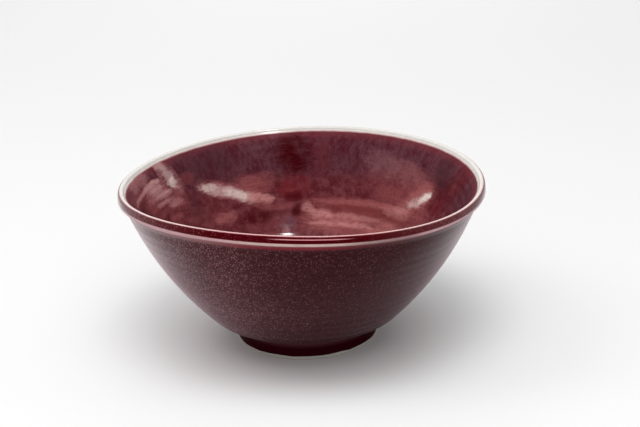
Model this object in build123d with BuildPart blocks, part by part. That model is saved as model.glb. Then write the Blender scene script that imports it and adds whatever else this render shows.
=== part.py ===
from build123d import *
import math
import os

# A wheel-thrown bowl with an everted lip, a full belly and a turned foot ring, under a glossy
# glaze. It stands on its foot, with its axis on +Z and the table at z = 0. All sizes are in
# millimetres.

# Overall sizes, measured over the glaze
bowl_diameter = 150.0
bowl_height = 68.8
glaze_thickness = 0.5

# The lip: a round crown on a low band, whose lower edge is a crisp ridge
crown_radius = 0.8
crown_setback = 1.5
lip_band_height = 3.1
lip_flare_width = 3.2
lip_flare_height = 3.8

# The wall, from the knee above the foot to the neck under the lip
wall_thickness = 3.2
wall_belly = 3.3
knee_diameter = 78.0
knee_height = 12.3
knee_round = 6.0
inner_flare_share = 0.9

# The floor, and the share of the wall's height where its curve runs out
floor_thickness = 4.6
bottom_wall_thickness = 4.4
floor_curve_share = 0.2

# The foot ring, which stands on a flat bearing edge
foot_base_diameter = 57.4
foot_top_diameter = 58.6
foot_height = 9.0
foot_bearing_width = 3.2
foot_root_width = 4.8
foot_edge_round = 0.5

# Where the glazes stop, above the table and on the lip, and how they pool in a corner
outer_glaze_line_height = 1.9
well_glaze_line_height = 1.3
pale_lip_start_angle = 65.0
pale_lip_share = 0.12
glaze_pool_round = 1.2

half_turn = 180.0

# Points of the clay's section, each as radius and height
ridge = (bowl_diameter / 2 - glaze_thickness, bowl_height - lip_band_height)
neck = (ridge[0] - lip_flare_width, ridge[1] - lip_flare_height)
knee = (knee_diameter / 2, knee_height)
crown_centre = (bowl_diameter / 2 - crown_setback, bowl_height - glaze_thickness - crown_radius)
crown_outside = (crown_centre[0] + crown_radius, crown_centre[1])
crown_inside = (crown_centre[0] - crown_radius, crown_centre[1])
floor_height = foot_height + floor_thickness
foot_corner = (foot_top_diameter / 2, foot_height)
foot_root = (foot_corner[0] - foot_root_width, foot_height)
foot_base = (foot_base_diameter / 2, 0)
foot_inner_base = (foot_base[0] - foot_bearing_width, 0)


def up_the_foot(base, top, height):
    """The point at a height on the straight side of the foot between its base and its top."""
    return (base[0] + (top[0] - base[0]) * height / top[1], height)


def moved_in(curve, share, distance):
    """The point at a share of a curve's length, moved square to it towards the bowl's inside."""
    point, tangent = curve @ share, curve % share
    return (point.X - tangent.Y * distance, point.Y + tangent.X * distance)


# The outside of the clay, drawn upwards: the foot's face, the turned underside with its knee,
# the wall, and the lip as far over its crown as the red glaze reaches
with BuildLine() as foot_outside:
    Line(up_the_foot(foot_base, foot_corner, outer_glaze_line_height), foot_corner)

with BuildLine() as wall_outside:
    Line(foot_corner, knee)
    wall = SagittaArc(knee, neck, -wall_belly)
    fillet(wall_outside.vertices().sort_by_distance(knee)[0], knee_round)

with BuildLine() as lip_outside:
    TangentArc(neck, ridge, tangent=wall % 1)
    Line(ridge, crown_outside)
    CenterArc(crown_centre, crown_radius, 0, pale_lip_start_angle)

# The inside of the clay, drawn upwards. The floor is flat until one arc turns it up into the
# wall, and the wall leans out into the lip.
with BuildLine() as floor_and_wall_inside:
    wall_start = moved_in(wall, floor_curve_share, bottom_wall_thickness)
    wall_middle_share = (floor_curve_share + inner_flare_share) / 2
    wall_middle_thickness = (bottom_wall_thickness + wall_thickness) / 2
    wall_middle = moved_in(wall, wall_middle_share, wall_middle_thickness)
    wall_end = moved_in(wall, inner_flare_share, wall_thickness)
    inner_wall = ThreePointArc(wall_start, wall_middle, wall_end)
    wall_direction = inner_wall % 0
    wall_slope = math.atan2(wall_direction.Y, wall_direction.X)
    floor_curve_width = (wall_start[1] - floor_height) / math.tan(wall_slope / 2)
    floor_edge = (wall_start[0] - floor_curve_width, floor_height)
    Line((0, floor_height), floor_edge)
    TangentArc(floor_edge, wall_start, tangent=(1, 0))
    inner_lip = TangentArc(wall_end, crown_inside, tangent=inner_wall % 1, mode=Mode.PRIVATE)
    add(inner_lip.trim(0, 1 - pale_lip_share))

with BuildLine() as lip_inside:
    add(inner_lip.trim(1 - pale_lip_share, 1))
    CenterArc(crown_centre, crown_radius, half_turn, pale_lip_start_angle - half_turn)

# The recess under the floor, drawn from its middle outwards and down to its glaze line
with BuildLine() as foot_well:
    Line((0, foot_height), foot_root)
    Line(foot_root, up_the_foot(foot_inner_base, foot_root, well_glaze_line_height))

os.makedirs("parts", exist_ok=True)

# The thrown clay of the floor, the wall and the lip
with BuildPart() as bowl_body:
    with BuildSketch(Plane.XZ):
        with BuildLine():
            add(wall_outside.line)
            add(lip_outside.line)
            add(lip_inside.line)
            add(floor_and_wall_inside.line)
            Polyline((0, floor_height), (0, foot_height), foot_corner)
        make_face()
    revolve(axis=Axis.Z)
bowl_body.part.label = "bowl_body"
export_step(bowl_body.part, "parts/bowl_body.step")

# The foot ring, luted to the floor's flat underside, with both corners of its edge rounded
with BuildPart() as foot_ring:
    with BuildSketch(Plane.XZ) as foot_section:
        with BuildLine():
            Polyline(foot_inner_base, foot_base, foot_corner, foot_root, close=True)
        make_face()
        fillet(foot_section.vertices().group_by(Axis.Y)[0], foot_edge_round)
    revolve(axis=Axis.Z)
foot_ring.part.label = "foot_ring"
export_step(foot_ring.part, "parts/foot_ring.step")

# The red coat outside, from the foot's glaze line to the crown, pooled where foot meets wall
with BuildPart() as outer_glaze:
    with BuildSketch(Plane.XZ) as outer_coat:
        with BuildLine():
            add(foot_outside.line)
            add(wall_outside.line)
            add(lip_outside.line)
            offset(amount=glaze_thickness, side=Side.RIGHT)
        make_face()
        fillet(outer_coat.vertices().sort_by_distance(foot_corner)[1], glaze_pool_round)
    revolve(axis=Axis.Z)
outer_glaze.part.label = "outer_glaze"
export_step(outer_glaze.part, "parts/outer_glaze.step")

# The red coat inside, over the floor and the wall up to the pale lip
with BuildPart() as inner_glaze:
    with BuildSketch(Plane.XZ):
        with BuildLine():
            add(floor_and_wall_inside.line)
            offset(amount=glaze_thickness, side=Side.LEFT)
        make_face()
    revolve(axis=Axis.Z)
inner_glaze.part.label = "inner_glaze"
export_step(inner_glaze.part, "parts/inner_glaze.step")

# The pale coat over the crown, where the red has drained off, and a little way down inside
with BuildPart() as lip_glaze:
    with BuildSketch(Plane.XZ):
        with BuildLine():
            add(lip_inside.line)
            offset(amount=glaze_thickness, side=Side.LEFT)
        make_face()
    revolve(axis=Axis.Z)
lip_glaze.part.label = "lip_glaze"
export_step(lip_glaze.part, "parts/lip_glaze.step")

# The coat in the recess under the floor, pooled where the recess meets the foot
with BuildPart() as foot_well_glaze:
    with BuildSketch(Plane.XZ) as well_coat:
        with BuildLine():
            add(foot_well.line)
            offset(amount=glaze_thickness, side=Side.RIGHT)
        make_face()
        fillet(well_coat.vertices().sort_by_distance(foot_root)[1], glaze_pool_round)
    revolve(axis=Axis.Z)
foot_well_glaze.part.label = "foot_well_glaze"
export_step(foot_well_glaze.part, "parts/foot_well_glaze.step")
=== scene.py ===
import bpy
import cmath
import math
from mathutils import Matrix, Vector


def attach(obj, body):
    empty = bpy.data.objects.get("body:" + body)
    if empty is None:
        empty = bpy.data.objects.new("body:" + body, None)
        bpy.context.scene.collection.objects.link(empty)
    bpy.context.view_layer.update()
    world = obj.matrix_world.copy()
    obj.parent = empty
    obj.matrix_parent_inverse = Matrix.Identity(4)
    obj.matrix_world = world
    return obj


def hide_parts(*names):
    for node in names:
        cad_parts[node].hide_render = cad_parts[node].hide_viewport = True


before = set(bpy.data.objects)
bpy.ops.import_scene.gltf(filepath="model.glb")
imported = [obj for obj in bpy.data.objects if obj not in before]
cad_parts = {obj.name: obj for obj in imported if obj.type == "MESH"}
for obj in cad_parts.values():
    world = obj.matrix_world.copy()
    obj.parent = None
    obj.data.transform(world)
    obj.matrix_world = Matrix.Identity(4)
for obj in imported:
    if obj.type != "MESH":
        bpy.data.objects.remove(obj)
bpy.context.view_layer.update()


# The thrown clay of the floor, wall and lip: one body of white stoneware, raised on the wheel and
# turned on the outside when leather hard. The glaze hides all of it. Its rim was never cut quite
# level, so that every piece here follows the same slow rise and fall towards the lip.
mm = 0.001
bowl_width = 150 * mm
bowl_height = 68.8 * mm
glaze_thickness = 0.5 * mm
lip_band_height = 3.1 * mm
lip_flare_width = 3.2 * mm
lip_flare_height = 3.8 * mm
lip_crown_radius = 0.8 * mm
lip_crown_setback = 1.5 * mm
wall_belly = 3.3 * mm
wall_thickness_top = 3.2 * mm
wall_thickness_bottom = 4.4 * mm
knee_radius = 39 * mm
knee_height = 12.3 * mm
knee_softening = 1.35 * mm
foot_height = 9 * mm
foot_top_radius = 29.3 * mm
floor_thickness = 4.6 * mm
floor_curve_share = 0.2
inner_flare_share = 0.9
pale_start_angle = 65
pale_share = 0.12
steps_around = 320
wall_steps = 200
knee_steps = 8
flare_steps = 12
crown_step = 5
floor_curve_steps = 40
inner_wall_steps = 60
inner_lip_steps = 50

# The rim's rise and fall round the bowl: how often each part repeats, and its cosine and sine
rim_out_of_level = (
    (0, -0.22 * mm, 0),
    (1, -1.00 * mm, 0.09 * mm),
    (2, -1.10 * mm, 1.07 * mm),
    (3, 0.27 * mm, 0.12 * mm),
)
quarter_turn = cmath.rect(1, math.pi / 2)


# A section is drawn as complex numbers, radius + height * 1j.
def arc(start, direction, end, steps):
    """Points after start on the arc that leaves it in a direction and arrives at end."""
    half_turn = cmath.phase((end - start) / direction)
    if abs(half_turn) < 1e-6:
        return [start + (end - start) * step / steps for step in range(1, steps + 1)]
    points = []
    for step in range(1, steps + 1):
        turned = half_turn * step / steps
        reach = math.sin(turned) / math.sin(half_turn)
        points.append(start + (end - start) * cmath.rect(reach, turned - half_turn))
    return points


def direction_at_end(start, direction, end):
    """The direction in which that arc arrives at its end."""
    half_turn = cmath.phase((end - start) / direction)
    way = direction * cmath.rect(1, 2 * half_turn)
    return way / abs(way)


def moved_aside(points, distance):
    """The same line of points, moved to its left by a distance, with its corners kept sharp."""
    ways = [after - before for before, after in zip(points, points[1:])]
    ways = [way / abs(way) for way in ways]
    moved = []
    for place, point in enumerate(points):
        before = ways[max(place - 1, 0)]
        after = ways[min(place, len(ways) - 1)]
        middle = (before + after) / abs(before + after)
        opening = (middle.conjugate() * after).real
        moved.append(point + middle * quarter_turn * distance / opening)
    return moved


def evened(points, spacing):
    """The same line with its points about a spacing apart, and its ends kept."""
    lengths = [abs(after - before) for before, after in zip(points, points[1:])]
    count = max(1, round(sum(lengths) / spacing))
    step = sum(lengths) / count
    result, walked, place = [points[0]], 0.0, 0
    for number in range(1, count):
        while walked + lengths[place] < number * step:
            walked += lengths[place]
            place += 1
        share = (number * step - walked) / lengths[place]
        result.append(points[place] + (points[place + 1] - points[place]) * share)
    return result + [points[-1]]


def on_crown(angle):
    """The point of the lip's round crown at an angle in degrees, from level outwards."""
    return crown_centre + cmath.rect(lip_crown_radius, math.radians(angle))


def inside_wall(share, thickness):
    """The point a wall's thickness inwards from a share of the outside wall's length."""
    point = wall_line[round(share * (len(wall_line) - 1))]
    way = wall_way * cmath.rect(1, 2 * belly_turn * share)
    return point + way * quarter_turn * thickness


ridge = complex(bowl_width / 2 - glaze_thickness, bowl_height - lip_band_height)
neck = ridge - complex(lip_flare_width, lip_flare_height)
knee = complex(knee_radius, knee_height)
foot_corner = complex(foot_top_radius, foot_height)
crown_centre = complex(
    bowl_width / 2 - lip_crown_setback, bowl_height - glaze_thickness - lip_crown_radius
)

belly_turn = 2 * math.atan(2 * wall_belly / abs(neck - knee))
wall_way = (neck - knee) / abs(neck - knee) * cmath.rect(1, -belly_turn)
wall_line = [knee] + arc(knee, wall_way, neck, wall_steps)
underside_way = (knee - foot_corner) / abs(knee - foot_corner)
before_knee = knee - underside_way * knee_softening
above_knee = [point for point in wall_line if abs(point - knee) > knee_softening]
wall_outside = [foot_corner, before_knee]
wall_outside += arc(before_knee, underside_way, above_knee[0], knee_steps) + above_knee[1:]
lip_outside = [neck] + arc(neck, direction_at_end(knee, wall_way, neck), ridge, flare_steps)
lip_outside += [on_crown(angle) for angle in range(0, pale_start_angle + 1, crown_step)]

floor_height = foot_height + floor_thickness
wall_start = inside_wall(floor_curve_share, wall_thickness_bottom)
wall_end = inside_wall(inner_flare_share, wall_thickness_top)
middle_share = (floor_curve_share + inner_flare_share) / 2
wall_middle = inside_wall(middle_share, (wall_thickness_bottom + wall_thickness_top) / 2)
inner_bow = cmath.phase((wall_end - wall_middle) / (wall_middle - wall_start))
inner_way = (wall_end - wall_start) / abs(wall_end - wall_start) * cmath.rect(1, -inner_bow)
floor_curve_width = (wall_start.imag - floor_height) / math.tan(cmath.phase(inner_way) / 2)
floor_edge = complex(wall_start.real - floor_curve_width, floor_height)
inner_lip_way = direction_at_end(wall_start, inner_way, wall_end)
inner_lip = [wall_end] + arc(wall_end, inner_lip_way, on_crown(180), inner_lip_steps)
pale_start = inner_lip_steps - round(inner_lip_steps * pale_share)
inside_line = [complex(0, floor_height), floor_edge]
inside_line += arc(floor_edge, 1, wall_start, floor_curve_steps)
inside_line += arc(wall_start, inner_way, wall_end, inner_wall_steps)
inside_line += inner_lip[1 : pale_start + 1]
lip_inside = inner_lip[pale_start:-1]
lip_inside += [on_crown(angle) for angle in range(180, pale_start_angle - 1, -crown_step)]


class Wire:
    """One output socket of a node tree. A sum of wires and numbers adds its own Math nodes."""

    def __init__(self, recipe, socket):
        self.recipe = recipe
        self.socket = socket

    def math(self, operation, *values):
        sockets = dict(enumerate(values))
        return self.recipe.node("ShaderNodeMath", {"operation": operation}, sockets)

    def __add__(self, other):
        return self.math("ADD", self, other)

    def __radd__(self, other):
        return self.math("ADD", other, self)

    def __sub__(self, other):
        return self.math("SUBTRACT", self, other)

    def __rsub__(self, other):
        return self.math("SUBTRACT", other, self)

    def __mul__(self, other):
        return self.math("MULTIPLY", self, other)

    def __rmul__(self, other):
        return self.math("MULTIPLY", other, self)

    def __truediv__(self, other):
        return self.math("DIVIDE", self, other)

    def __rtruediv__(self, other):
        return self.math("DIVIDE", other, self)


class Recipe:
    """A node tree that is being filled in."""

    def __init__(self, tree):
        self.tree = tree

    def node(self, kind, settings=None, sockets=None, output=0):
        """Adds a node: its settings first, then the values or wires of its sockets."""
        made = self.tree.nodes.new(kind)
        for name, value in (settings or {}).items():
            setattr(made, name, value)
        for name, value in (sockets or {}).items():
            if isinstance(name, int):
                socket = made.inputs[name]
            else:
                socket = next(one for one in made.inputs if one.name == name and one.enabled)
            if isinstance(value, Wire):
                self.tree.links.new(value.socket, socket)
            elif socket.type == "RGBA":
                socket.default_value = (*value, 1)
            else:
                socket.default_value = value
        if not made.outputs:
            return None
        shown = [one for one in made.outputs if one.enabled]
        if isinstance(output, int):
            return Wire(self, shown[output])
        return Wire(self, next(one for one in shown if one.name == output))

    def noise(self, place, scale, detail=2.0, **more):
        """Cloudy noise about 0.5, with lumps about 1 / scale metres wide."""
        sockets = {"Vector": place, "Scale": scale, "Detail": detail, **more}
        return self.node("ShaderNodeTexNoise", None, sockets)

    def soft_step(self, value, start, end):
        """0 where a value is before start and 1 after end, with a soft rise between them."""
        sockets = {"Value": value, "From Min": start, "From Max": end}
        return self.node("ShaderNodeMapRange", {"interpolation_type": "SMOOTHSTEP"}, sockets)

    def mix(self, share, first, second):
        """The first colour, covered by a share of the second."""
        sockets = {"Factor": share, "A": first, "B": second}
        return self.node("ShaderNodeMix", {"data_type": "RGBA"}, sockets)

    def stored(self, name):
        """A value that the wheel left on the form's points, read by a material."""
        return self.node("ShaderNodeAttribute", {"attribute_name": name}, None, "Fac")

    def part(self, place, axis):
        """One coordinate of a place."""
        return self.node("ShaderNodeSeparateXYZ", None, {0: place}, axis)


def wheel():
    """The tree that turns a section into a thrown form, standing on z = 0 about the z axis."""
    tree = bpy.data.node_groups.new("wheel", "GeometryNodeTree")
    for name, kind in (
        ("Section", "NodeSocketGeometry"),
        ("Steps Around", "NodeSocketInt"),
        ("Bowl Height", "NodeSocketFloat"),
        ("Ring Depth", "NodeSocketFloat"),
        ("Ring Spacing", "NodeSocketFloat"),
        ("Line Wander", "NodeSocketFloat"),
        ("Seed", "NodeSocketInt"),
        ("Finish", "NodeSocketMaterial"),
    ):
        tree.interface.new_socket(name=name, in_out="INPUT", socket_type=kind)
    tree.interface.new_socket(name="Form", in_out="OUTPUT", socket_type="NodeSocketGeometry")
    recipe = Recipe(tree)
    group = tree.nodes.new("NodeGroupInput")
    given = {socket.name: Wire(recipe, socket) for socket in group.outputs if socket.name}

    def named(name):
        sockets = {"Name": name}
        return recipe.node("GeometryNodeInputNamedAttribute", {"data_type": "FLOAT"}, sockets)

    def on_section(data_type, value):
        settings = {"data_type": data_type, "domain": "POINT"}
        sockets = {"Geometry": given["Section"], "Value": value, "Index": row}
        return recipe.node("GeometryNodeSampleIndex", settings, sockets)

    # A grid with a row for each point of the section, and closed on itself by its last column
    rows = recipe.node(
        "GeometryNodeAttributeDomainSize", {"component": "MESH"}, {0: given["Section"]}
    )
    columns = given["Steps Around"] + 1
    grid_sizes = {"Size X": 1, "Size Y": 1, "Vertices X": rows, "Vertices Y": columns}
    form = recipe.node("GeometryNodeMeshGrid", None, grid_sizes)
    index = recipe.node("GeometryNodeInputIndex")
    row = index.math("FLOOR", (index + 0.5) / columns)
    angle = (index - row * columns) * (2 * math.pi) / given["Steps Around"]
    place = on_section("FLOAT_VECTOR", recipe.node("GeometryNodeInputPosition"))
    radius = recipe.part(place, "X")
    height = recipe.part(place, "Z")
    east = angle.math("COSINE", angle)
    north = angle.math("SINE", angle)

    # The rim's slow rise and fall, none of it at the axis, where a form's poles close
    rise = 0
    for repeats, by_cosine, by_sine in rim_out_of_level:
        turned = angle * repeats
        rise = rise + turned.math("COSINE", turned) * by_cosine
        rise = rise + turned.math("SINE", turned) * by_sine
    share = height / given["Bowl Height"]
    rise = rise * share * share * recipe.soft_step(radius, 0, 12 * mm)

    # The uneven edge of a coat
    compass = {0: east, 1: north, 2: given["Seed"]}
    uneven = recipe.noise(recipe.node("ShaderNodeCombineXYZ", None, compass), 3.0) - 0.5
    wander = uneven * given["Line Wander"] * on_section("FLOAT", named("line"))
    spot = {0: radius * east, 1: radius * north, 2: height + rise + wander}
    spot = recipe.node("ShaderNodeCombineXYZ", None, spot)
    form = recipe.node("GeometryNodeSetPosition", None, {"Geometry": form, "Position": spot})

    # What the materials read later. Then the grid's last column is joined to its first.
    kept = {name: on_section("FLOAT", named(name)) for name in ("skin", "along")}
    for name, value in {**kept, "height": height, "radius": radius}.items():
        settings = {"data_type": "FLOAT", "domain": "POINT"}
        stored = {"Geometry": form, "Name": name, "Value": value}
        form = recipe.node("GeometryNodeStoreNamedAttribute", settings, stored)
    form = recipe.node("GeometryNodeMergeByDistance", None, {"Geometry": form, "Distance": 1e-6})

    # Where a section has both its poles side by side, the row between them leaves a stray edge
    faces = recipe.node("GeometryNodeInputMeshEdgeNeighbors")
    settings = {"domain": "EDGE", "mode": "EDGE_FACE"}
    stray = {"Geometry": form, "Selection": 1 - faces}
    form = recipe.node("GeometryNodeDeleteGeometry", settings, stray)

    # The soft spiral that the fingers leave, shallow and never quite even
    where = recipe.node("GeometryNodeInputPosition")
    slow = {"Vector": where, "W": given["Seed"], "Scale": 22.0, "Detail": 1.0}
    slow = recipe.node("ShaderNodeTexNoise", {"noise_dimensions": "4D"}, slow)
    turn = {0: recipe.part(where, "Y"), 1: recipe.part(where, "X")}
    turn = recipe.node("ShaderNodeMath", {"operation": "ARCTAN2"}, turn)
    phase = named("along") / given["Ring Spacing"] * (2 * math.pi) + turn + slow * 12.0
    patchy = recipe.soft_step(slow, 0.35, 0.75)
    ring = phase.math("SINE", phase) * patchy * given["Ring Depth"] * named("skin")
    offset = {0: recipe.node("GeometryNodeInputNormal"), "Scale": ring}
    offset = recipe.node("ShaderNodeVectorMath", {"operation": "SCALE"}, offset)
    form = recipe.node("GeometryNodeSetPosition", None, {"Geometry": form, "Offset": offset})

    # The grid's faces point into the clay, so they are turned round
    form = recipe.node("GeometryNodeFlipFaces", None, {"Mesh": form})
    form = recipe.node("GeometryNodeSetShadeSmooth", None, {"Geometry": form, "Shade Smooth": True})
    form = recipe.node("GeometryNodeRealizeInstances", None, {"Geometry": form})
    finish = {"Geometry": form, "Material": given["Finish"]}
    form = recipe.node("GeometryNodeSetMaterial", None, finish)
    output = tree.nodes.new("NodeGroupOutput")
    tree.links.new(form.socket, output.inputs[0])
    return tree


wheel_tree = wheel()


def on_axis(point):
    """Whether a point of a section lies on the wheel's axis."""
    return point.real < 1e-7


def thrown(name, shown, hidden, finish, ring_depth=0.0, ring_spacing=4 * mm, wander=0.0, seed=1):
    """A closed form of revolution. Its section runs by the shown line and back by the hidden one,
    which lies against other clay. The throwing rings fade out towards a coat's ends, and the
    wander of its edge fades out away from the shown line's start."""
    fade = 3 * mm
    edge_width = 1 * mm
    loop = shown + hidden
    if not (on_axis(loop[0]) and on_axis(loop[-1])):
        loop = loop + [loop[0]]
    walked = [0.0]
    for before, after in zip(loop, loop[1:]):
        walked.append(walked[-1] + abs(after - before))
    whole = walked[len(shown) - 1]
    skin, line = [], []
    for place, distance in enumerate(walked):
        if place < len(shown):
            from_start = 1.0 if on_axis(shown[0]) else min(distance / fade, 1)
            from_end = 1.0 if on_axis(shown[-1]) else min((whole - distance) / fade, 1)
            skin.append(min(from_start, from_end))
            line.append(1 - min(distance / fade, 1))
        else:
            skin.append(0.0)
            line.append(1.0 if abs(loop[place] - shown[0]) < edge_width else 0.0)
    mesh = bpy.data.meshes.new(name + "_section")
    mesh.from_pydata([(point.real, 0, point.imag) for point in loop], [], [])
    for title, values in (("skin", skin), ("line", line), ("along", walked)):
        mesh.attributes.new(title, "FLOAT", "POINT").data.foreach_set("value", values)
    host = bpy.data.objects.new(name + "_section", mesh)
    bpy.context.scene.collection.objects.link(host)
    modifier = host.modifiers.new("wheel", "NODES")
    modifier.node_group = wheel_tree
    inputs = {
        "Steps Around": steps_around,
        "Bowl Height": bowl_height,
        "Ring Depth": ring_depth,
        "Ring Spacing": ring_spacing,
        "Line Wander": wander,
        "Seed": seed,
        "Finish": finish,
    }
    for socket in wheel_tree.interface.items_tree:
        if socket.name in inputs:
            modifier[socket.identifier] = inputs[socket.name]
    bpy.context.view_layer.update()
    evaluated = host.evaluated_get(bpy.context.evaluated_depsgraph_get())
    form = bpy.data.meshes.new_from_object(evaluated)
    form.name = name
    piece = bpy.data.objects.new(name, form)
    bpy.context.scene.collection.objects.link(piece)
    host.modifiers.remove(modifier)
    bpy.data.objects.remove(host)
    return piece


def finish_named(name, constants):
    """A new material, its recipe and its shader, with the constants on the shader's sockets."""
    material = bpy.data.materials.new(name)
    material.use_nodes = True
    shader = material.node_tree.nodes["Principled BSDF"]
    for title, value in constants.items():
        shader.inputs[title].default_value = value
    return material, Recipe(material.node_tree), shader


def feed(shader, **wires):
    """Joins wires to the shader's sockets."""
    for title, wire in wires.items():
        wire.recipe.tree.links.new(wire.socket, shader.inputs[title.replace("_", " ")])


def clay_finish():
    """Bare vitrified white stoneware: warm grey-white, dry, with a fine grit."""
    material, recipe, shader = finish_named("white clay", {"Roughness": 0.62})
    place = recipe.node("ShaderNodeTexCoord", None, None, "Object")
    grit = recipe.noise(place, 2600.0)
    grey, white = (0.40, 0.37, 0.32), (0.60, 0.57, 0.52)
    tone = recipe.mix(recipe.noise(place, 240.0, 4.0) * 0.6 + grit * 0.4, grey, white)
    bump = {"Strength": 0.5, "Distance": 0.1 * mm, "Height": grit}
    feed(shader, Base_Color=tone, Normal=recipe.node("ShaderNodeBump", None, bump))
    return material


white_clay = clay_finish()
thrown_clay = thrown(
    "thrown_clay",
    [complex(0, foot_height)] + evened(wall_outside + lip_outside[1:], spacing=1.5 * mm),
    evened((inside_line + lip_inside[1:-1])[::-1], spacing=1.5 * mm),
    white_clay,
)
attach(thrown_clay, "root")
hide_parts("bowl_body")


# The foot ring, turned from the same clay, on whose narrow flat edge the bowl stands. The edge is
# wiped clean of glaze before firing, so that a thin line of bare clay shows at the table.
foot_base_radius = 28.7 * mm
foot_bearing_width = 3.2 * mm
foot_root_width = 4.8 * mm
foot_edge_round = 0.5 * mm


def rounded(before, corner, after, radius, steps=6):
    """The points of a round that takes the place of a corner."""
    way_in = (corner - before) / abs(corner - before)
    way_out = (after - corner) / abs(after - corner)
    reach = radius * math.tan(abs(cmath.phase(way_out / way_in)) / 2)
    start, end = corner - way_in * reach, corner + way_out * reach
    return [start] + arc(start, way_in, end, steps)


foot_base = complex(foot_base_radius, 0)
foot_inner_base = foot_base - foot_bearing_width
foot_root = foot_corner - foot_root_width
foot_line = [foot_root] + rounded(foot_root, foot_inner_base, foot_base, foot_edge_round)
foot_line += rounded(foot_inner_base, foot_base, foot_corner, foot_edge_round) + [foot_corner]
turned_foot = thrown("turned_foot", evened(foot_line, spacing=0.4 * mm), [], white_clay)
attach(turned_foot, "root")
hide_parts("foot_ring")


# The red glaze outside: a thick copper red, poured over the bowl and let run. It stops a little
# above the table, pools where foot meets wall, breaks pale on the ridge below the lip, and holds
# a dust of fine pinkish bubbles, thickest towards the bowl's left, where the paler glaze is also
# painted light from that side.
glaze_line_height = 1.9 * mm
pool_round = 1.2 * mm


def up_the_foot(base, top, height):
    """The point at a height on the foot's straight side."""
    return base + (top - base) * (height - base.imag) / (top.imag - base.imag)


def specks(recipe, place, scale, chance):
    """Round specks in a share of the cells of a pattern: 1 in a speck's middle, 0 outside it."""
    cells = {"Vector": place, "Scale": scale}
    near = recipe.node("ShaderNodeTexVoronoi", None, cells, "Distance")
    lot = recipe.node("ShaderNodeTexVoronoi", None, cells, "Color")
    luck = recipe.node("ShaderNodeSeparateColor", None, {0: lot}, "Red")
    return recipe.soft_step(near, 0.45, 0.12) * recipe.soft_step(luck + chance, 0.95, 1.1)


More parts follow.
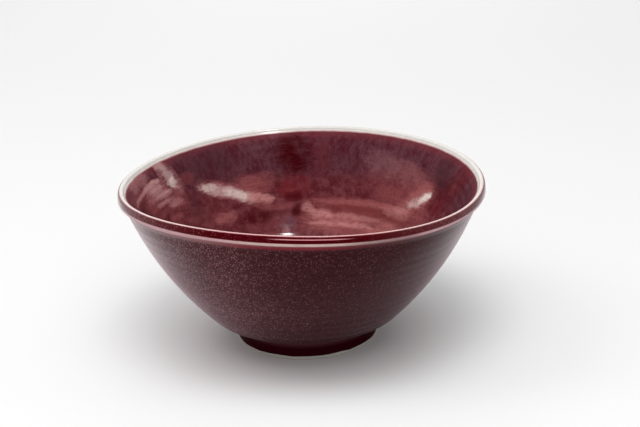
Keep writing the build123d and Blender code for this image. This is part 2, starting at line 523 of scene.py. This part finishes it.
def red_glaze_outside_finish():
    """Dark copper red with a mauve bloom and a froth of bubbles, paler on the lit left side as
    painted light, and a pale break on the lip's ridge. The lip's band has a painted sheen at the
    sides, the crown's shoulder a painted highlight, the foot's top a painted sheen, and the wall
    just above the foot a painted shade. The wall has a dusty sheen, and the lip and foot are clean
    and wet."""
    constants = {
        "Specular IOR Level": 0.05,
        "Sheen Weight": 0.88,
        "Sheen Roughness": 0.3,
        "Sheen Tint": (1.0, 0.82, 0.89, 1.0),
        "Coat Roughness": 0.35,
    }
    material, recipe, shader = finish_named("red glaze outside", constants)
    near_black, deep_red = (0.018, 0.0005, 0.0014), (0.042, 0.0034, 0.0058)
    plum, froth_pink = (0.060, 0.012, 0.016), (0.25, 0.105, 0.120)
    speck_pink, pause_pink = (0.44, 0.25, 0.26), (0.36, 0.17, 0.18)
    place = recipe.node("ShaderNodeTexCoord", None, None, "Object")
    east = recipe.part(place, "X") / mm
    height = recipe.stored("height") / mm
    cloud = recipe.noise(place, 45.0, 3.0)
    mottle = recipe.noise(place, 420.0, 3.0)

    # Frothy and mauve towards the left, paler there partly as painted light from the lit side, and
    # frothier still where the froth sank, low on the wall
    left_froth_and_light = recipe.soft_step(cloud * 0.6 - east * 0.014, 0.15, 1.0)
    sunk = recipe.soft_step(height, 48, 24) * left_froth_and_light
    body = recipe.mix(left_froth_and_light, recipe.mix(mottle, near_black, deep_red), plum)
    froth = recipe.soft_step(recipe.noise(place, 1250.0, 1.5, Distortion=1.3), 0.53, 0.68)
    body = recipe.mix(froth * (left_froth_and_light * 0.46 + sunk * 0.14 + 0.14), body, froth_pink)
    dust = specks(recipe, place, 1500.0, left_froth_and_light * 0.33 + 0.24)
    body = recipe.mix(dust * (left_froth_and_light * 0.58 + sunk * 0.30 + 0.22), body, speck_pink)

    # A faint broken line round the lower wall, where the pour paused
    pause = height + (cloud - 0.5) * 7.0 + (mottle - 0.5) * 2.0
    pause = recipe.soft_step(pause, 28.8, 30.4) * recipe.soft_step(pause, 32.4, 30.6)
    body = recipe.mix(pause * left_froth_and_light * (froth * 0.20 + 0.08), body, pause_pink)

    # Thick and nearly black on the foot, paler mauve at the foot's top as a painted sheen, and
    # darker just above the foot, a painted shade under the knee
    # Painted shade: the wall darkens just above the foot, under the knee
    knee_shade = recipe.soft_step(height, 14, 10)
    body = recipe.mix(knee_shade * 0.45, body, (0.028, 0.006, 0.008))
    # Painted sheen: the foot is paler mauve at its top and near black below
    foot_tone = recipe.soft_step(height, 8.6, 4.8)
    foot_tone = recipe.mix(foot_tone, (0.105, 0.036, 0.040), (0.030, 0.0001, 0.0034))
    body = recipe.mix(recipe.soft_step(height, 10.0, 8.8) * 0.95, body, foot_tone)

    # Redder under the lip's flare, darkest on the lip's band with bubbles showing through, and
    # mauve on the band towards the bowl's left and right, a painted sheen where the band turns
    # away, with bubbles in it
    flare = recipe.soft_step(height, 62.5, 63.5)
    flare_left = recipe.soft_step(east, -18, -42)
    flare_tone = recipe.mix(flare_left, (0.21, 0.018, 0.030), (0.27, 0.105, 0.110))
    body = recipe.mix(flare * (0.78 - recipe.soft_step(east, 0, 32) * 0.58), body, flare_tone)
    band = recipe.soft_step(height, 66.1, 66.5)
    body = recipe.mix(band * (1 - dust * 0.7), body, (0.060, 0.0001, 0.0020))
    # Painted sheen: mauve on the band's left and right sides, flecked by the bubbles
    side_sheen_and_froth = recipe.soft_step(east, -30, -74) * 0.65 + recipe.soft_step(east, 18, 66) * 0.6
    side_sheen_and_froth = side_sheen_and_froth * (froth * 0.7 + dust * 0.7 + 0.4)
    body = recipe.mix(band * side_sheen_and_froth, body, (0.24, 0.095, 0.108))

    def from_spot(x, y, z):
        """The distance in millimetres from a spot on the bowl."""
        spot = {0: place, 1: (x * mm, y * mm, z * mm)}
        return recipe.node("ShaderNodeVectorMath", {"operation": "DISTANCE"}, spot, "Value") / mm

    # It breaks on the ridge, beige in front and pink at the sides. A thin pink line in a patch on
    # the crown's shoulder, in front, is a painted highlight
    from_front = from_spot(4, -75, 67)
    break_below = height + recipe.soft_step(from_front, 30, 70) * 0.9
    ridge_break = recipe.soft_step(break_below, 64.85, 65.45)
    ridge_break = ridge_break * recipe.soft_step(height, 66.45, 66.10) * (mottle * 0.4 + 0.75)
    ridge_break = ridge_break * (1 - recipe.soft_step(from_spot(31, -67, 66), 20, 8) * 0.45)
    ridge_side = recipe.soft_step(from_front, 18, 38)
    ridge_tone = recipe.mix(ridge_side, (0.58, 0.42, 0.38), (0.55, 0.32, 0.345))
    body = recipe.mix(ridge_break, body, ridge_tone)
    # Painted highlight: a thin pink line on the crown's shoulder, in front
    shoulder_highlight = recipe.soft_step(height, 67.55, 67.8) * recipe.soft_step(height, 68.1, 67.85)
    shoulder_highlight = shoulder_highlight * recipe.soft_step(from_front + cloud * 8, 22, 14)
    body = recipe.mix(shoulder_highlight, body, (0.72, 0.29, 0.32))

    # A dusty haze on the upper wall where it turns away, and a wet coat on the lip and low down
    relief = {"Strength": 0.25, "Distance": 0.05 * mm, "Height": mottle * 0.5 + froth * 0.5 + dust}
    relief = recipe.node("ShaderNodeBump", None, relief)
    slant = recipe.node("ShaderNodeLayerWeight", None, {"Blend": 0.5}, "Facing")
    haze = recipe.soft_step(slant, 0.38, 0.88) * recipe.soft_step(height, 34, 58)
    feed(shader, Base_Color=body, Normal=relief, Coat_Weight=haze * 0.9)
    lip = recipe.soft_step(height, 65.2, 65.9)
    wet = {
        "Base Color": body,
        "Roughness": 0.15,
        "Specular IOR Level": 0.01,
        "Coat Weight": lip * recipe.soft_step(slant, 0.25, 0.90) * 0.8 + 0.02,
        "Coat Roughness": 0.05,
        "Normal": relief,
    }
    wet = recipe.node("ShaderNodeBsdfPrincipled", None, wet)
    wetness = lip + flare * 0.6 + recipe.soft_step(height, 16, 11) * 0.35
    wetness = wetness + recipe.soft_step(height, 38, 13) * 0.65
    lower_right = recipe.soft_step(east, 15, 48) * recipe.soft_step(height, 44, 26)
    wetness = wetness + lower_right * 0.28
    coat = {0: wetness, 1: Wire(recipe, shader.outputs[0]), 2: wet}
    coat = recipe.node("ShaderNodeMixShader", None, coat)
    recipe.tree.links.new(coat.socket, recipe.tree.nodes["Material Output"].inputs["Surface"])
    return material


coat_under = [up_the_foot(foot_base, foot_corner, glaze_line_height)]
coat_under += wall_outside + lip_outside[1:]
coat_over = moved_aside(coat_under, -glaze_thickness)
coat_over[1:2] = rounded(coat_over[0], coat_over[1], coat_over[2], pool_round)
red_outside = thrown(
    "red_glaze_outside",
    evened(coat_over, spacing=0.45 * mm),
    evened(coat_under[::-1], spacing=2 * mm),
    red_glaze_outside_finish(),
    ring_depth=0.035 * mm,
    ring_spacing=4.6 * mm,
    wander=1.0 * mm,
    seed=3,
)
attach(red_outside, "root")
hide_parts("outer_glaze")


# The red glaze inside: the same glaze, poured in, swirled and emptied. It is thick and dark in
# places, milky mauve on the upper wall, and thin on the lower wall, where it runs to pink streaks
# on the ridges that the fingers left. Part of the mauve and of the pale and rose streaks is a
# painted reflection of the room and the lamps in the glossy glaze, broken by those ridges.
inner_ring_depth = 0.16 * mm
inner_ring_spacing = 4.2 * mm


def long_mark(recipe, spot, ragged, start, end, half_width):
    """A long mark on the wall, 1 in its middle and 0 outside its ragged edge. Its ends are given
    as degrees round to the left from the bowl's back, and millimetres up."""
    start, end = complex(*start), complex(*end)
    middle = (start + end) / 2
    laid = {
        "Vector": spot,
        "Location": (middle.real, middle.imag, 0),
        "Rotation": (0, 0, cmath.phase(end - start)),
        "Scale": (abs(end - start) / 2, half_width, 1),
    }
    laid = recipe.node("ShaderNodeMapping", {"vector_type": "TEXTURE"}, laid)
    squared = recipe.node("ShaderNodeVectorMath", {"operation": "MULTIPLY"}, {0: laid, 1: laid})
    blunt = {0: squared, 1: (1, 0, 0), 2: (0, 1, 0)}
    blunt = recipe.node("ShaderNodeVectorMath", {"operation": "MULTIPLY_ADD"}, blunt)
    off = {0: squared, 1: blunt}
    off = recipe.node("ShaderNodeVectorMath", {"operation": "DOT_PRODUCT"}, off, "Value")
    return recipe.soft_step(off + ragged, 2.1, -0.5)


def red_glaze_inside_finish():
    """Copper red with a milky mauve veil down the upper wall and pale pink marks round the lower
    wall, partly the glaze's own and partly painted reflections of the room and the lamps."""
    constants = {
        "Specular IOR Level": 0.005,
        "Roughness": 0.30,
        "Coat Roughness": 0.13,
    }
    material, recipe, shader = finish_named("red glaze inside", constants)
    place = recipe.node("ShaderNodeTexCoord", None, None, "Object")
    x, y = recipe.part(place, "X"), recipe.part(place, "Y")
    height = recipe.stored("height") / mm
    along = recipe.stored("along")
    turn = recipe.node("ShaderNodeMath", {"operation": "ARCTAN2"}, {0: 0 - x, 1: y})
    stir = {"Vector": place, "Scale": 150.0, "Detail": 2.0}
    stir = recipe.node("ShaderNodeTexNoise", None, stir, "Color")
    stir = recipe.node("ShaderNodeVectorMath", {"operation": "SUBTRACT"}, {0: stir, 1: (0.5,) * 3})
    across = turn * math.degrees(1) + recipe.part(stir, "X") * 7.0
    level = height + recipe.part(stir, "Y") * 2.0

    def runs(width, length):
        """Noise that runs down the wall, in lumps of a width and a length in millimetres."""
        lumps = {0: x / (width * mm), 1: y / (width * mm), 2: height / length}
        return recipe.noise(recipe.node("ShaderNodeCombineXYZ", None, lumps), 1.0)

    # The milky veil down the upper wall, partly glaze that ran and partly a painted reflection of
    # the room, and the redder glaze below it
    drips, drifts, cloud = runs(1.6, 14.0), runs(7.0, 16.0), recipe.noise(place, 42.0, 3.0)
    grain = recipe.noise(place, 1300.0, 2.0)
    mottle = recipe.noise(place, 300.0, 3.0)
    thick = recipe.soft_step(drips * 0.5 + drifts * 0.5, 0.38, 0.64)
    veil_and_reflection = recipe.mix(thick, (0.114, 0.037, 0.049), (0.078, 0.012, 0.021))
    below = recipe.soft_step(mottle, 0.36, 0.66)
    below = recipe.mix(below, (0.098, 0.014, 0.019), (0.160, 0.038, 0.046))
    body = recipe.mix(recipe.soft_step(height, 46, 54), below, veil_and_reflection)
    body = recipe.mix(recipe.soft_step(grain, 0.50, 0.70) * 0.3, body, (0.20, 0.070, 0.083))

    # The lower wall turns rose in rings, partly the glaze breaking on the ridges and partly a
    # painted reflection of a soft lamp broken by them. The glaze pools dark in the middle of the
    # floor, and it thins to red towards the rim
    wave = along / inner_ring_spacing * (2 * math.pi) + turn + cloud * 14.0 + drifts * 4.0
    wave = wave.math("SINE", wave) * 0.5 + 0.5
    rose_break_and_reflection = recipe.soft_step(height, 44, 26) * recipe.soft_step(cloud, 0.40, 0.62)
    body = recipe.mix(rose_break_and_reflection * (wave * 0.30 + 0.15), body, (0.30, 0.080, 0.084))
    pool = recipe.soft_step(recipe.stored("radius"), 30 * mm, 8 * mm)
    body = recipe.mix(pool * 0.8, body, (0.075, 0.0035, 0.0075))
    rim = recipe.soft_step(height, 63.5, 66.5)
    body = recipe.mix(rim * 0.5, body, (0.19, 0.035, 0.045))

    # The marks, each laid over those before it: partly the glaze's own, partly painted reflections
    # of the room and the lamps. A broad one is patchy.
    broad = 2.5
    patchy = recipe.soft_step(recipe.noise(place, 130.0, 3.0), 0.32, 0.58) * 0.55 + 0.5
    spot = recipe.node("ShaderNodeCombineXYZ", None, {0: across, 1: level})
    ragged = recipe.node("ShaderNodeCombineXYZ", None, {0: across / 3.5, 1: level / 0.75})
    ragged = (recipe.noise(ragged, 1.0) - 0.5) * 2.2
    mauve, dark, red = (0.066, 0.020, 0.027), (0.050, 0.0002, 0.0014), (0.125, 0.010, 0.014)
    rose, pink, blush = (0.25, 0.064, 0.068), (0.40, 0.128, 0.126), (0.56, 0.235, 0.23)
    brick, violet = (0.165, 0.017, 0.022), (0.165, 0.070, 0.098)
    lilac, dusty = (0.46, 0.205, 0.215), (0.52, 0.265, 0.265)
    pale, milk, cream = (0.56, 0.37, 0.355), (0.74, 0.58, 0.53), (0.86, 0.74, 0.68)
    for colour, share, start, end, half_width in (
        # The veil's darkest and reddest parts, and a dark band near the back, a painted dark gap in
        # the reflections
        (mauve, 0.60, (28, 61), (56, 60), 7.0),
        (mauve, 0.85, (-64, 65), (-69, 51), 5.0),
        (mauve, 0.70, (51, 49), (55, 40), 4.5),
        (red, 0.60, (-84, 66), (-74, 52), 6.0),
        (red, 0.60, (-69, 54), (-72, 44), 4.0),
        (red, 0.50, (84, 64), (72, 46), 8.0),
        (brick, 0.85, (4, 50), (4, 40), 6.0),
        (red, 0.45, (-7, 68), (-7, 50), 5.0),
        (dark, 0.97, (4, 66), (3, 50), 6.8),
        (dark, 0.60, (14, 36.2), (32, 35.5), 2.6),
        # Rose marks round the wall, in rings on the right, partly a painted reflection of a soft
        # lamp in the ridges
        (rose, 0.30, (62, 43), (34, 38), 5.0),
        (rose, 0.55, (54, 58.5), (47, 56), 2.4),
        (rose, 0.40, (-77, 59.5), (-78, 54.5), 2.2),
        (rose, 0.60, (-28, 50), (-60, 47), 4.5),
        (rose, 0.70, (-40, 53), (-66, 50), 5.5),
        (rose, 0.75, (-34, 44.5), (-66, 43), 2.8),
        (lilac, 0.24, (-26, 57.5), (-56, 53), 4.5),
        (rose, 0.95, (30, 48.5), (12, 47.5), 4.0),
        (pink, 0.25, (27, 50.0), (17, 49.5), 1.6),
        (rose, 0.60, (4, 38.4), (22, 38.8), 1.4),
        (pink, 0.60, (33, 38.3), (46, 37.8), 1.8),
        (rose, 1.00, (86, 57), (54, 52), 6.5),
        (rose, 0.70, (72, 46), (62, 44.5), 2.2),
        (rose, 0.80, (100, 62), (82, 61.5), 2.8),
        (lilac, 0.45, (80, 58.0), (62, 57.5), 3.8),
        (lilac, 0.50, (90, 65.6), (70, 65.4), 2.2),
        (dusty, 0.90, (76, 59.0), (65, 58.6), 1.5),
        (dusty, 0.80, (73, 55.8), (61, 55.4), 1.3),
        (lilac, 0.60, (76, 53.0), (62, 52.6), 0.9),
        (lilac, 0.80, (67, 50.8), (58, 50.4), 1.4),
        (dark, 0.55, (64, 66), (64.5, 62.6), 1.6),
        (dark, 0.40, (61.5, 60), (61, 56), 0.9),
        (pink, 0.86, (-2, 32.2), (-62, 33.0), 6.2),
        (rose, 0.90, (-2, 39.2), (-66, 39.8), 1.9),
        (pink, 0.35, (-6, 39.4), (-60, 39.8), 1.2),
        (rose, 0.60, (-60, 38), (-72, 40), 4.0),
        (blush, 0.60, (0.5, 38.0), (-5, 35.5), 1.8),
        (blush, 0.75, (-4, 34.8), (-14, 34.4), 1.5),
        (red, 0.70, (-10, 36.7), (-58, 36.6), 1.8),
        (blush, 0.65, (-2, 31.2), (-38, 31.2), 1.0),
        (blush, 0.40, (-12, 34.2), (-40, 34.2), 0.9),
        (blush, 0.40, (-40, 38.5), (-56, 39.0), 2.0),
        (rose, 0.80, (-18, 28.8), (-36, 28.8), 0.9),
        # A painted glow round the small lamp's bright spot, low at the back
        (violet, 0.65, (12, 28.5), (5, 32), 3.2),
        (dusty, 0.50, (13, 28.2), (8, 29.4), 1.3),
        (dark, 0.80, (1, 41.2), (7, 41.0), 1.9),
        (dark, 0.95, (1.5, 36.2), (7.5, 35.6), 2.2),
        # The palest, partly where the ridges pushed through and partly painted reflections of the
        # lamps, broken by the ridges
        (blush, 0.32, (-56, 44), (-46, 39.5), 2.6),
        (pink, 0.90, (-62, 52), (-53, 42), 4.3),
        (pale, 0.85, (-62.6, 48.8), (-52, 42), 1.8),
        (milk, 1.00, (-63.6, 49.8), (-57.0, 45.2), 1.35),
        (cream, 0.90, (-63.6, 49.7), (-60.4, 47.6), 1.2),
        (pink, 0.85, (47, 52.6), (17, 40.6), 3.0),
        (pale, 0.85, (46, 52.0), (23, 42.4), 2.2),
        (milk, 0.85, (36, 47.6), (25, 43.2), 1.6),
        (milk, 0.55, (45, 51.8), (39, 49.8), 1.5),
        (blush, 0.80, (26, 43.2), (16, 42.4), 1.6),
        (blush, 0.60, (17, 43.5), (15.5, 39.8), 1.8),
        (lilac, 0.70, (62.5, 68), (55.5, 53), 3.0),
        (pale, 0.65, (62, 67), (57.5, 55.5), 1.7),
        (milk, 0.85, (59.6, 60.0), (58.0, 56.3), 1.8),
        (lilac, 1.00, (64, 61.5), (94, 60.8), 0.85),
        (dusty, 0.90, (65, 61.8), (78, 61.6), 0.9),
    ):
        cover = long_mark(recipe, spot, ragged, start, end, half_width)
        if half_width > broad:
            cover = cover * patchy
        body = recipe.mix(cover * share, body, colour)

    # Fine dark flecks, run a little down the wall, over all of it
    fleck = recipe.soft_step(runs(1.2, 2.0), 0.50, 0.72) * recipe.soft_step(height, 66, 62)
    body = recipe.mix(fleck * 0.25, body, (0.070, 0.006, 0.011))

    # It is wettest where it pooled, on the floor and the foot of the wall
    gloss = recipe.soft_step(height, 30.0, 28.4) * 0.07 + 0.002
    bump = {"Strength": 0.2, "Distance": 0.08 * mm, "Height": grain + drips}
    bump = recipe.node("ShaderNodeBump", None, bump)
    feed(shader, Base_Color=body, Coat_Weight=gloss, Normal=bump)
    return material


inner_over = moved_aside(inside_line, glaze_thickness)
inner_over[0] = complex(0, inner_over[0].imag)
red_inside = thrown(
    "red_glaze_inside",
    evened(inner_over, spacing=0.6 * mm)[::-1],
    evened(inside_line, spacing=2 * mm),
    red_glaze_inside_finish(),
    ring_depth=inner_ring_depth,
    ring_spacing=inner_ring_spacing,
    seed=7,
)
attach(red_inside, "root")
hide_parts("inner_glaze")


# The pale lip: on the crown the red drains away in the kiln and leaves a thin, nearly clear coat
# over the white clay. It goes over the crown and a little way down inside, and blushes where the
# red begins.
def pale_glaze_finish():
    """Nearly clear glaze over white clay. Its outer edge blushes in front, and its inner edge turns
    pink and then red."""
    constants = {"Roughness": 0.16, "Specular IOR Level": 0.1}
    material, recipe, shader = finish_named("pale glaze", constants)
    place = recipe.node("ShaderNodeTexCoord", None, None, "Object")
    x, y = recipe.part(place, "X") / mm, recipe.part(place, "Y") / mm
    height = recipe.stored("height") / mm + (recipe.noise(place, 160.0) - 0.5) * 0.5
    radius = recipe.stored("radius") / mm
    tone = recipe.mix(recipe.noise(place, 500.0, 3.0), (0.68, 0.65, 0.61), (0.80, 0.78, 0.74))
    near = recipe.soft_step(y, 20, -40)
    outer = recipe.soft_step(radius, 73.0, 74.0) * (near * 0.85 + 0.15)
    aside = recipe.soft_step(x.math("ABSOLUTE", x), 18, 52)
    blush = recipe.mix(aside, (0.72, 0.25, 0.26), (0.74, 0.42, 0.42))
    tone = recipe.mix(outer, tone, blush)
    inner = recipe.soft_step(radius, 73.2, 72.8)
    pink = recipe.soft_step(height, 67.7, 66.9) * inner
    tone = recipe.mix(pink * 0.8, tone, (0.50, 0.22, 0.22))
    red = recipe.soft_step(height, 67.2, 66.5) * inner
    tone = recipe.mix(red, tone, (0.085, 0.018, 0.025))
    feed(shader, Base_Color=tone)
    return material


lip_over = moved_aside(lip_inside, glaze_thickness)
pale_lip = thrown(
    "pale_glaze_lip",
    evened(lip_over, spacing=0.12 * mm)[::-1],
    evened(lip_inside, spacing=0.3 * mm),
    pale_glaze_finish(),
)
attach(pale_lip, "root")
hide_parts("lip_glaze")


# The glaze in the foot's well: the outside's red, thick and quiet, because nothing drains it. It
# pools round the root of the foot and stops short of the bearing edge.
well_line_height = 1.3 * mm
well_under = [complex(0, foot_height), foot_root]
well_under += [up_the_foot(foot_inner_base, foot_root, well_line_height)]
well_over = moved_aside(well_under, -glaze_thickness)
well_over[0] = complex(0, well_over[0].imag)
well_over[1:2] = rounded(well_over[0], well_over[1], well_over[2], pool_round)
red_well = thrown(
    "red_glaze_well",
    evened(well_over, spacing=0.5 * mm),
    evened(well_under[::-1], spacing=1 * mm),
    bpy.data.materials["red glaze outside"],
    ring_depth=0.08 * mm,
    seed=11,
)
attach(red_well, "root")
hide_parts("foot_well_glaze")


# The table: a sheet of plain white paper that reaches past the view on every side. Where it is
# seen, straight or in a reflection, it is lifted towards white by a painted glow, more so further
# away and in front, as in a bright photograph, which paints the bowl's shadow lighter there. Close
# to the bowl it keeps the shadow, and is painted a darker warm tone, a painted contact shade warmed
# as by light from the red bowl.
def looked_at(recipe):
    """1 where a surface is seen straight, in a reflection or through glass, and 0 elsewhere."""
    seen = 0
    for ray in ("Is Camera Ray", "Is Glossy Ray", "Is Transmission Ray"):
        seen = seen + recipe.node("ShaderNodeLightPath", None, None, ray)
    return seen.math("MINIMUM", seen, 1.0)


def paper_finish():
    """Matt white paper."""
    material = bpy.data.materials.new("white paper")
    material.use_nodes = True
    recipe = Recipe(material.node_tree)
    material.node_tree.nodes.clear()
    place = recipe.node("ShaderNodeTexCoord", None, None, "Object")
    bump = {"Strength": 0.05, "Distance": 0.1 * mm, "Height": recipe.noise(place, 900.0)}
    bump = recipe.node("ShaderNodeBump", None, bump)
    away = recipe.node("ShaderNodeVectorMath", {"operation": "LENGTH"}, {0: place}, "Value")
    white, contact_shade = (0.86, 0.86, 0.86), (0.74, 0.69, 0.70)
    # Painted contact shade: the paper darkens and warms close to the bowl
    tone = recipe.mix(recipe.soft_step(away, 0.07, 0.035), white, contact_shade)
    paper = recipe.node("ShaderNodeBsdfDiffuse", None, {"Color": tone, "Normal": bump})
    light = recipe.node("ShaderNodeEmission", None, {"Color": (1, 1, 1), "Strength": 1.0})
    # Painted light: the glow lightens the bowl's shadow more the further it falls from the bowl
    lift = recipe.soft_step(away, 0.01, 0.14) * 0.28 + recipe.soft_step(away, 0.15, 2.1) * 0.72
    # In front the glow is raised further, which paints the bowl's shadow lighter there
    in_front = recipe.soft_step(recipe.part(place, "Y"), -0.045, -0.09)
    lift = lift + in_front * (1 - lift) * 0.30
    seen = {0: lift * looked_at(recipe), 1: paper, 2: light}
    seen = recipe.node("ShaderNodeMixShader", None, seen)
    recipe.node("ShaderNodeOutputMaterial", None, {"Surface": seen})
    return material


table_reach = 6.0
table_mesh = bpy.data.meshes.new("table")
table_mesh.from_pydata(
    [(table_reach * x, table_reach * y, 0) for x, y in ((-1, -1), (1, -1), (1, 1), (-1, 1))],
    [],
    [(0, 1, 2, 3)],
)
table = bpy.data.objects.new("table", table_mesh)
table.data.materials.append(paper_finish())
bpy.context.scene.collection.objects.link(table)


# The light: a large soft box high in front, smaller ones above, on the left and low behind, in a
# white room. One more, small and high on the right, only shines in the gloss, and gives the one
# bright spot inside the bowl.
light_aim = Vector((0, 0, 30 * mm))


def soft_box(name, centre, width, power, gloss_only=False):
    """A square soft lamp that faces the bowl. It lights the scene, or only shines in the gloss."""
    lamp = bpy.data.lights.new(name, "AREA")
    lamp.size = width
    lamp.energy = power
    holder = bpy.data.objects.new(name, lamp)
    holder.location = centre
    holder.visible_glossy = gloss_only
    holder.visible_diffuse = not gloss_only
    to_bowl = light_aim - Vector(centre)
    holder.rotation_euler = to_bowl.to_track_quat("-Z", "Y").to_euler()
    bpy.context.scene.collection.objects.link(holder)


soft_box("front_light", centre=(0.0, -0.47, 0.91), width=0.90, power=3.5)
soft_box("top_light", centre=(0.0, -0.26, 1.00), width=0.45, power=2.6)
soft_box("small_light", (0.183, -0.224, 0.972), width=0.08, power=14.0, gloss_only=True)
soft_box("left_light", centre=(-0.64, 0.0, 0.80), width=0.45, power=1.75)
soft_box("back_light", centre=(0.0, 0.91, 0.45), width=0.45, power=0.95)

world = bpy.data.worlds.new("white room")
bpy.context.scene.world = world
world.use_nodes = True
world.node_tree.nodes.clear()
room = Recipe(world.node_tree)
room_light = 0.54
sky = {"Color": (1, 1, 1), "Strength": looked_at(room) * (1 - room_light) + room_light}
sky = room.node("ShaderNodeBackground", None, sky)
room.node("ShaderNodeOutputWorld", None, {"Surface": sky})


# The camera: a long lens a little above the table, about 0.6 m from the bowl, which looks down on
# it and is tilted by two degrees. All of it was fitted to the outlines in the photograph.
camera_place = (0.00708, -0.5592, 0.2464)
pitch = math.radians(19.11)
roll = math.radians(2.19)
lens = bpy.data.cameras.new("camera")
lens.sensor_width = 36
lens.lens = 80.72
camera = bpy.data.objects.new("camera", lens)
forward = Vector((0, math.cos(pitch), -math.sin(pitch)))
right = Vector((1, 0, 0))
upward = Vector((0, math.sin(pitch), math.cos(pitch)))
across = right * math.cos(roll) - upward * math.sin(roll)
above = right * math.sin(roll) + upward * math.cos(roll)
turned = Matrix((across, above, -forward)).transposed().to_4x4()
camera.matrix_world = Matrix.Translation(camera_place) @ turned
bpy.context.scene.collection.objects.link(camera)
bpy.context.scene.camera = camera
bpy.context.scene.view_settings.view_transform = "Standard"
